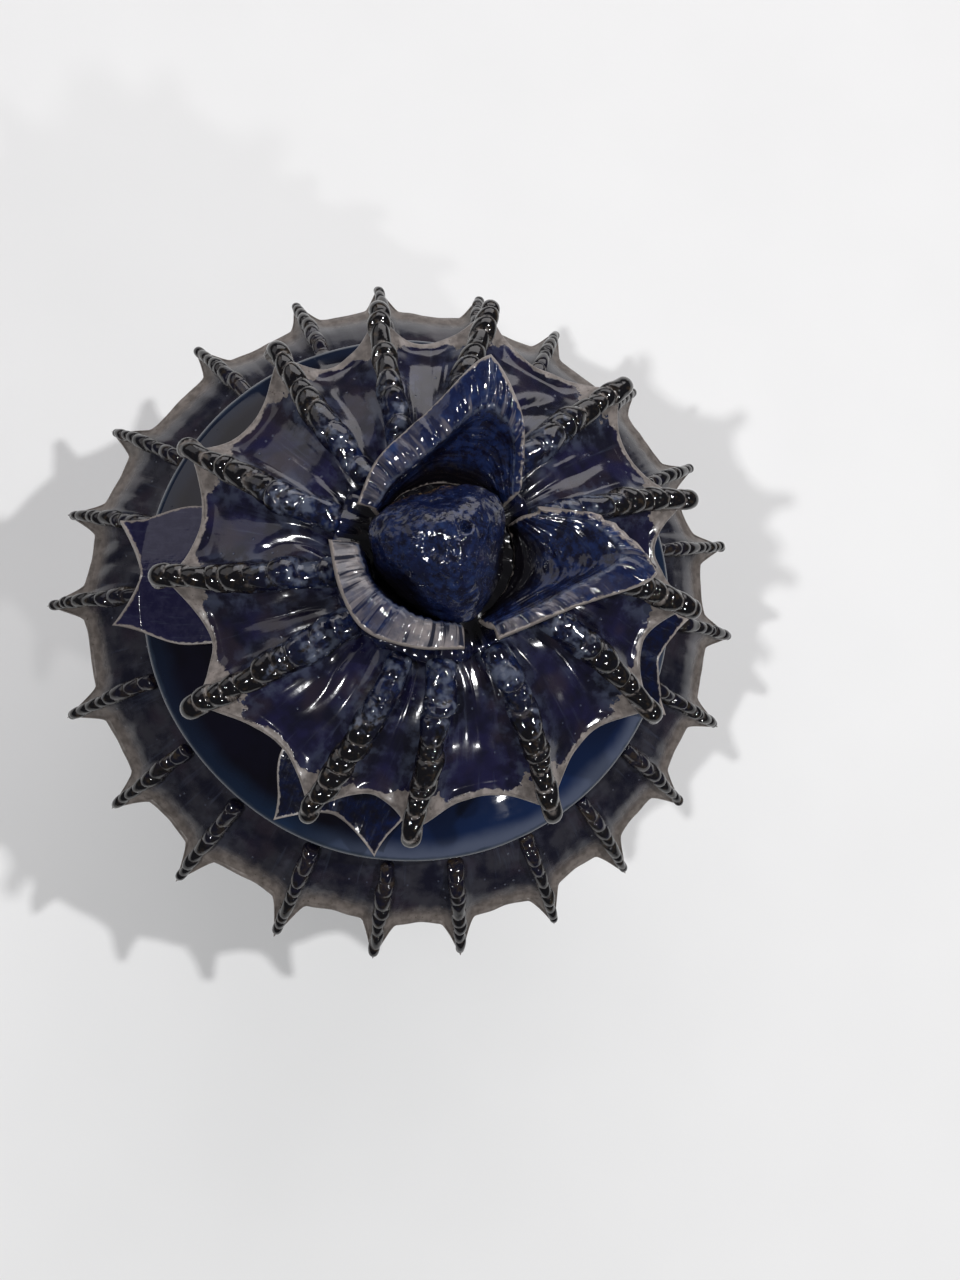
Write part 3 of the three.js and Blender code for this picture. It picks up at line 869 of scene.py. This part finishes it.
# ---------------------------------------------------------------- lid

LID_LOW, LID_HIGH = corners("lid_dome")
LID_R = 0.5 * (LID_HIGH[0] - LID_LOW[0])
LID_EDGE_Z = LID_LOW[2]
LID_ROLL = 4.5  # how far the dome starts above the lid's lowest edge
LID_GLAZE = lid_glaze("lid_glaze", LID_R)


def lid_top(radius):
    """Height of the lid's top: a dome, 1 - share^1.8 of a rise that the stem's root cuts off."""
    share = np.minimum(1, np.asarray(radius, float) / LID_R)
    return LID_EDGE_Z + LID_ROLL + (LID_HIGH[2] - LID_EDGE_Z - LID_ROLL) * 1.08 * (1 - share**1.8)


def build_lid():
    """Domed lid with a rolled edge, hollow below, with a locating ring that drops into the mouth."""
    edge = LID_EDGE_Z
    stem_r, wall = 17, 5
    inner, outer, deep = 53, 57, 9
    under = [[r, float(lid_top(max(r, stem_r))) - wall] for r in (0, 14, 28, 42)]
    ring = [[inner, edge + 0.4], [inner, edge - (deep - 0.4)], [inner + 1, edge - deep]]
    ring += [[outer - 1, edge - deep], [outer, edge - (deep - 2)], [outer, edge]]
    bead = 2.3
    sweep = np.linspace(0, 2.6, 9)
    roll = [[LID_R - bead + bead * math.sin(a), edge + bead - bead * math.cos(a)] for a in sweep]
    top = [[r, float(lid_top(r))] for r in (66, 60, 52, 44, 36, 28, 22, stem_r)]
    line = rounded(under + ring + roll + top + [[0, float(lid_top(stem_r))]], 420)

    def relief(base, radius, height, angle):
        """Slow waves of the thrown disc, fading out towards the stem."""
        return 0.30 * noise(base, 26, 31) * smooth(radius, 20, 60)

    return turned_piece(
        "lid_disc", line, 240, 0.35, no_marks, relief,
        material=LID_GLAZE, body="lid", slot="lid_glaze", nodes=["lid_dome", "lid_ring"],
    )


build_lid()


LEAF_ROOT_R = 21


def leaf_piece(k, node, glaze):
    """A broad leaf, v from root to tip and u across.

    Its half width grows like a sine and its end is cut in by v^6 (1 - |u|^1.4), which leaves two
    points with a notch between. It stands over the lid's dome, arched by (1 - |u|)^1.5, with a
    groove along the middle.
    """
    low, high = corners(node)
    middle = 0.5 * (low + high)
    turn = math.atan2(middle[1], middle[0])
    spread = vertices(node)
    tip = (spread[:, 0] * math.cos(turn) + spread[:, 1] * math.sin(turn)).max()
    u = np.sin(np.linspace(-np.pi / 2, np.pi / 2, 71))[None, :]
    v = (1 - np.cos(np.linspace(0, np.pi, 81)))[:, None] / 2
    root_half, swelling = 9, 9.2
    half_width = root_half + swelling * np.sin(np.pi * np.minimum(v * 0.72, 0.62))
    notch = 6.5 * v**6 * (1 - np.abs(u) ** 1.4)
    radius = LEAF_ROOT_R + (tip - LEAF_ROOT_R) * v - notch
    taper = 1 - 0.22 * smooth(v, 0.65, 1)
    across = u * half_width * taper
    reach = np.hypot(radius, across)
    lift = 1.8 + 2.5 * v**2 + 1.8 * (1 - np.abs(u)) ** 1.5 * v - 0.6 * bell(u, 0.2) * v
    height = lid_top(np.minimum(reach, LID_R)) + lift
    ones = np.ones_like(radius)
    along = np.array([math.cos(turn), math.sin(turn), 0])
    beside = np.array([-math.sin(turn), math.cos(turn), 0])
    grid = (radius * ones)[..., None] * along + (across * ones)[..., None] * beside
    grid[..., 2] = height
    comb = noise(np.stack([u * 13 * ones, v * 3 * ones, k * 9 * ones], -1), 1.1, 41 + k)
    front = 0.14 * comb + 0.15 * noise(grid, 7, 51 + k)
    vein = 0.5 * bell(u, 0.05) * smooth(v, 0.4, 0.9)
    flat = np.stack([v * 57 * ones, across * ones], -1)
    marks = {"edge_mm": edge_distance(grid), "lip": 0 * ones, "pale": 0 * ones, "root": ones, "fold": vein}
    sheet_piece(
        f"leaf_{k}", grid, 2.4, front, 0.1 * comb, flat, marks,
        material=glaze, body="lid", slot="petal_glaze", nodes=[node],
    )


for k, glaze in enumerate([LEAF_GLAZE, LEAF_GLAZE, BLUE_LEAF_GLAZE, BLUE_LEAF_GLAZE], 1):
    leaf_piece(k, f"lid_leaf_{k:02d}", glaze)

# ---------------------------------------------------------------- knob

CUP_TOP_Z = corners("flower_cup")[1][2]


def build_stem():
    """Waisted stem with throwing rings, flared under the ruff."""
    low, high = corners("knob_stem")
    waist = [[0, -1], [17, -0.6], [15.5, 2.5], [10.5, 9], [9.8, 14], [13, 20]]
    flare = [[19, -5], [19.5, -3], [13, -2.4], [12, 0.5], [0, 0.5]]
    line = rounded([[r, low[2] + z] for r, z in waist] + [[r, high[2] + z] for r, z in flare], 160)

    def relief(base, radius, height, angle):
        return 0.35 * np.sin(height * 2 * np.pi / 3.4) + 0.2 * noise(base, 4, 61)

    def marks(base, radius, height, angle):
        return {"bare": 0 * radius, "worn": 0.3 + 0 * radius}

    turned_piece(
        "stem", line, 120, 0.3, marks, relief,
        material=POT_GLAZE, body="lid", slot="cobalt_glaze", nodes=["knob_stem"],
    )


def build_cup():
    """The flower's cup: a low dish with a pinched, wavy brim over the roots of the ribs."""
    low, high = corners("flower_cup")
    under = [[0, -0.4], [15, -0.3], [21, 1.4], [24.5, 3.2], [25.2, 4.6], [23.5, 5.2]]
    top = [[20, high[2] - 0.4], [0, high[2]]]
    line = rounded([[r, low[2] + z] for r, z in under] + top, 130)

    def relief(base, radius, height, angle):
        wave = 1.2 * noise(base * [1, 1, 0], 9, 71) + 0.5 * np.sin(angle * 23 + 2 * noise(base, 10, 72))
        return wave * smooth(radius, 14, 23)

    def marks(base, radius, height, angle):
        nothing = 0 * radius
        # root is low inside radius 19: painted black shade in the cup's middle, under the bud and petals.
        root = smooth(radius, 19, 24)
        return {"edge_mm": 9 + nothing, "lip": nothing, "pale": nothing, "root": root, "fold": nothing}

    turned_piece(
        "cup", line, 260, 0.6, marks, relief,
        material=CUP_GLAZE, body="lid", slot="cobalt_glaze", nodes=["flower_cup"],
    )


def build_bud():
    """A fat closed bud: an egg with three ridges, cos(3a) plus its own fourth power.

    Beside its top are a small hole and a dent, each a bell, and lumps of three sizes cover it.
    """
    low, high = corners("bud")
    h = np.linspace(0, 1, 110)[:, None]
    angle = np.linspace(0, 2 * np.pi, 150, endpoint=False)[None, :]
    egg = [[10.5, 0], [14.2, 0.18], [15.2, 0.38], [13.2, 0.62], [8.6, 0.84], [4.6, 0.95], [0, 1.0]]
    outline = through(egg, 110)
    third = np.cos(3 * (angle - math.radians(287)))
    ridge = 0.12 * third + 0.06 * np.maximum(0, third) ** 4
    radius = outline[:, :1] * (1 + ridge * smooth(h, 0.05, 0.45))
    height = low[2] - 1 + outline[:, 1:] * (high[2] - low[2] + 1.5) + 0 * angle
    grid = polar(radius, angle, height)
    hole = bell(np.hypot(grid[..., 0] - 3.4, grid[..., 1] - 2.4), 1.0)
    dent = bell(np.hypot(grid[..., 0] + 3.2, grid[..., 1] + 2.2), 2.6)
    grid[..., 2] -= 2.6 * hole + 1.5 * dent
    lumps = 0.55 * noise(grid, 5, 81) + 0.25 * noise(grid, 1.8, 82) + 0.10 * noise(grid, 0.8, 83)
    clear_of_poles = smooth(h, 0, 0.05) * smooth(1 - h, 0, 0.06)
    grid -= normals_of(grid) * (lumps * clear_of_poles)[..., None]
    away = wrapped(angle - math.radians(100))
    fleck = bell(away, 0.8) * bell(h - 0.22, 0.13)
    flat = np.stack([angle * 14 + 0 * h, h * 20 + 0 * angle], -1)
    # root sets the painted black shade at the bud's foot; it reaches higher in the hollows between the
    # ridges, except on the flecked side.
    hollow = 0.5 * (1 - third) * (1 - bell(away, 0.8))
    root = smooth(h - 0.24 * hollow, 0.14, 0.46)
    shell_piece(
        "bud_cone", grid, False, flat, {"fleck": fleck, "root": root},
        material=BUD_GLAZE, body="lid", slot="bud_glaze", nodes=["bud"],
    )


PETAL_THICK = 2.2


def petal_piece(name, node, seed, sharp, milky, base, waist, crease, rim):
    """A petal lofted through four curves, root to rim, each a smooth run through polar points.

    Between crease and rim lies the lip, rolled outwards and ribbed across; the inside below it is
    combed in arcs round the bud. milky gives how pale the lip is at five places along it. sharp is
    how far the rim's farthest point is drawn out: a cusp exp(-d / 0.12), d being the share of the
    rim away from it, with a dip to either side and a pale ridge behind.
    """
    columns, rows = 120, 100
    lines = []
    for curve in (base, waist, crease, rim):
        deg, radius, height = np.array(curve, float).T
        lines.append(through(polar(radius, np.radians(deg), CUP_TOP_Z + height), columns))
    grid = through(np.array(lines), rows)
    u = np.linspace(-1, 1, columns)[None, :]
    v = np.linspace(0, 3, rows)[:, None]
    tip = np.argmax(np.hypot(grid[-1, :, 0], grid[-1, :, 1]))
    outward = grid[-1, tip] * [1, 1, 0]
    outward /= np.linalg.norm(outward)
    beside = np.abs(u - u[0, tip])
    cusp = 3.0 * sharp * (np.exp(-beside / 0.12) - 0.45 * bell(beside - 0.26, 0.14))
    grid += (cusp * smooth(v, 1.7, 3.0))[..., None] * outward
    lip = smooth(v, 1.88, 2.08) * (1 + 0 * u)
    arcs = noise(np.stack([u * 3 + 0 * v, v * 15 + 0 * u, 0 * u + 0 * v], -1), 1.0, 91 + seed)
    across = noise(np.stack([u * 26 + 0 * v, v * 1.2 + 0 * u, 5 + 0 * u + 0 * v], -1), 1.0, 92 + seed)
    pale = np.interp(u, np.linspace(-1, 1, len(milky)), milky) + 0 * v
    ribbed = 0.6 + 0.25 * pale
    fold = bell(v - 1.98, 0.07) + bell(beside, 0.035) * lip * sharp
    front = 0.15 * arcs * (1 - lip) + ribbed * across * lip + 0.25 * noise(grid, 3, 93 + seed)
    flat = np.stack([u * 20 + 0 * v, v * 8 + 0 * u], -1)
    # root is low near the petal's base: painted black shade in the throat beside the bud.
    root = smooth(v, 0.2, 1.15) + 0 * u
    marks = {"edge_mm": edge_distance(grid), "lip": lip, "pale": pale, "root": root, "fold": fold}
    sheet_piece(
        name, grid, PETAL_THICK, -front, 0.3 * across, flat, marks,
        material=PETAL_GLAZE, body="lid", slot="petal_glaze", nodes=[node],
    )


build_stem()
build_cup()
build_bud()
petal_piece(
    "back_petal", "petal_back", 0, 0.75, [0.45, 0.2, 0.0, 0.0, 0.0],
    [[148, 17.2, -1], [122, 17.4, -1], [90, 17.6, -1], [62, 17.8, -1], [38, 18.5, -1]],
    [[150, 18, 3], [124, 19.5, 4], [92, 24, 5], [64, 25, 5], [38, 20.5, 3]],
    [[150, 19, 5], [126, 20, 9], [98, 23, 13], [77, 33, 14.5], [60, 31.5, 12], [38, 21.5, 4.5]],
    [[153, 22, 5.5], [128, 25, 9.5], [103, 29, 12.5], [80, 41.5, 17], [63, 36.5, 15], [39, 23.5, 5]],
)
petal_piece(
    "right_petal", "petal_right", 10, 0.35, [0.0, 0.0, 0.0, 0.15, 0.6],
    [[26, 18.5, -1], [6, 18, -1], [345, 17.6, -1], [322, 17.8, -1], [302, 18.2, -1]],
    [[26, 21, 3.5], [8, 26, 4.5], [348, 28, 5], [325, 22, 4.5], [302, 20, 3]],
    [[24, 24, 6], [11, 35, 10.5], [357, 41, 12.5], [336, 28, 9], [304, 21.5, 5]],
    [[26, 24.5, 7], [12, 36.5, 11], [353, 47.5, 13.5], [335, 32, 10], [302, 24, 5.5]],
)
petal_piece(
    "front_petal", "petal_front", 20, 0.0, [0.95, 0.8, 0.15, 0.9, 0.8],
    [[180, 17.4, -1], [205, 17.3, -1], [228, 17.3, -1], [255, 17.3, -1], [283, 17.5, -1]],
    [[180, 19, 4], [205, 18.5, 6], [228, 18.5, 7], [255, 18, 6], [283, 18, 4]],
    [[179, 20.5, 9], [205, 20, 12], [226, 19.5, 13.5], [254, 18.5, 12], [284, 19, 8]],
    [[178, 26, 9.5], [205, 26, 13], [228, 27, 14], [254, 24.5, 12.5], [282, 23.5, 8.5]],
)

# ---------------------------------------------------------------- floor, lights, camera


def build_floor():
    """A wide pale table top, as a flat grid of eight by eight squares."""
    reach = 4.0
    line = np.linspace(-reach, reach, 9)
    x, y = np.meshgrid(line, line)
    points = np.stack([x, y, 0 * x], -1).reshape(-1, 3)
    mesh = bpy.data.meshes.new("floor")
    mesh.from_pydata(points.tolist(), [], quads(np.arange(81).reshape(9, 9)).tolist())
    mesh.materials.append(FLOOR_PAINT)
    floor = bpy.data.objects.new("floor", mesh)
    bpy.context.scene.collection.objects.link(floor)


def add_light(name, place, size, watts, colour=(1, 1, 1)):
    """An oblong area light, size wide and high in metres, aimed at the middle of the jar."""
    data = bpy.data.lights.new(name, "AREA")
    data.shape = "RECTANGLE"
    data.size, data.size_y = size
    data.energy = watts
    data.color = colour
    lamp = bpy.data.objects.new(name, data)
    lamp.location = place
    middle_of_jar = Vector((0, 0, 0.13))
    aim = middle_of_jar - Vector(place)
    lamp.rotation_euler = aim.to_track_quat("-Z", "Y").to_euler()
    bpy.context.scene.collection.objects.link(lamp)


def build_world(strength):
    world = bpy.data.worlds.new("studio")
    world.use_nodes = True
    backdrop = world.node_tree.nodes["Background"]
    backdrop.inputs["Color"].default_value = (0.93, 0.96, 1.0, 1)
    backdrop.inputs["Strength"].default_value = strength
    bpy.context.scene.world = world


CAMERA_TILT = 12.0
CAMERA_TURN = 221.5
CAMERA_DISTANCE = 386
CAMERA_AIM = (22.9, -7.9, 91)
CAMERA_LENS = 36.6
SENSOR_WIDTH = 36


def build_camera():
    """Looks down from just off the axis; the top of the view points to +Y."""
    tilt, turn = math.radians(CAMERA_TILT), math.radians(CAMERA_TURN)
    back = Vector((math.sin(tilt) * math.cos(turn), math.sin(tilt) * math.sin(turn), math.cos(tilt)))
    right = Vector((0, 1, 0)).cross(back).normalized()
    up = back.cross(right)
    data = bpy.data.cameras.new("camera")
    data.lens = CAMERA_LENS
    data.sensor_width = SENSOR_WIDTH
    data.clip_start = 0.01
    camera = bpy.data.objects.new("camera", data)
    turned = Matrix((right, up, back)).transposed().to_4x4()
    turned.translation = (Vector(CAMERA_AIM) + CAMERA_DISTANCE * back) * MM
    camera.matrix_world = turned
    bpy.context.scene.collection.objects.link(camera)
    bpy.context.scene.camera = camera


build_floor()
build_world(0.09)
add_light("softbox_left", (-0.92, 0.84, 0.98), (1.15, 0.95), 2.3, (1.0, 0.97, 0.98))
add_light("softbox_back", (0.30, 1.28, 0.92), (1.60, 0.95), 9.6, (1.0, 0.97, 0.98))
add_light("lamp_left", (-0.62, -0.30, 1.35), (0.04, 0.04), 8)
add_light("lamp_right", (0.66, 0.12, 1.35), (0.04, 0.04), 9)
add_light("lamp_front", (0.55, -0.80, 1.10), (0.05, 0.05), 2.5)
build_camera()
bpy.context.scene.view_settings.view_transform = "Standard"
